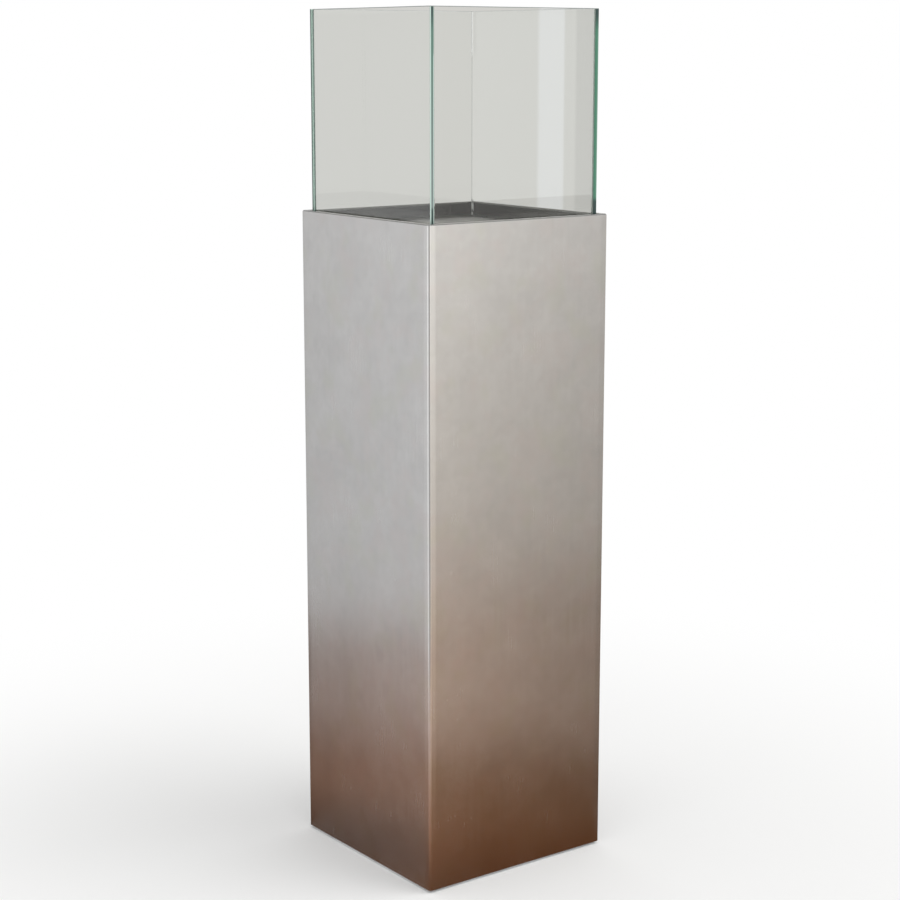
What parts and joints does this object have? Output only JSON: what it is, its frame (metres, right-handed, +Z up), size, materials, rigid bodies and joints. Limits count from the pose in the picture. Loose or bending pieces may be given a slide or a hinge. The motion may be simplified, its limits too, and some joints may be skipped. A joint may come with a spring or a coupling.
{
  "type": "candle lantern",
  "caption": "Tall square brushed-steel column with a sunken candle tray in its top and an open-topped glass box that stands in the tray and lifts out.",
  "frame": {"origin": "on the floor, under the middle of the column", "axes": "+Z up, -Y towards the wider near face of the picture (front), +X to the right of that face"},
  "size_m": [0.25, 0.25, 0.98],
  "materials": {
    "column_steel": "satin stainless steel, fine upright brush lines",
    "tray_steel": "satin stainless steel",
    "plated_sheet": "plain zinc-plated sheet",
    "clear_glass": "clear float glass, green through its ground edges",
    "clear_glue": "clear cured glue",
    "pad_silicone": "translucent silicone",
    "foot_rubber": "matt black rubber",
    "plated_fasteners": "bright zinc plating"
  },
  "bodies": {
    "column": {"base_angle_front": "plated_sheet", "base_angle_left": "plated_sheet", "base_angle_rear": "plated_sheet", "base_angle_right": "plated_sheet", "base_plate": "plated_sheet", "base_plate_screws": "plated_fasteners", "candle_tray": "tray_steel", "column_shell": "column_steel", "foot_front_left": "foot_rubber", "foot_front_right": "foot_rubber", "foot_nuts": "plated_fasteners", "foot_rear_left": "foot_rubber", "foot_rear_right": "foot_rubber", "foot_screws": "plated_fasteners", "glass_pads": "pad_silicone", "shell_seam_strip": "plated_sheet", "tray_angle_front": "plated_sheet", "tray_angle_left": "plated_sheet", "tray_angle_rear": "plated_sheet", "tray_angle_right": "plated_sheet"},
    "glass": {"bond_front_left": "clear_glue", "bond_front_right": "clear_glue", "bond_rear_left": "clear_glue", "bond_rear_right": "clear_glue", "glass_front": "clear_glass", "glass_left": "clear_glass", "glass_rear": "clear_glass", "glass_right": "clear_glass"}
  },
  "joints": [
    {"name": "glass_lift", "type": "slide", "parent": "column", "child": "glass", "axis": [0, 0, 1], "range_m": [0, 0.3]}
  ]
}
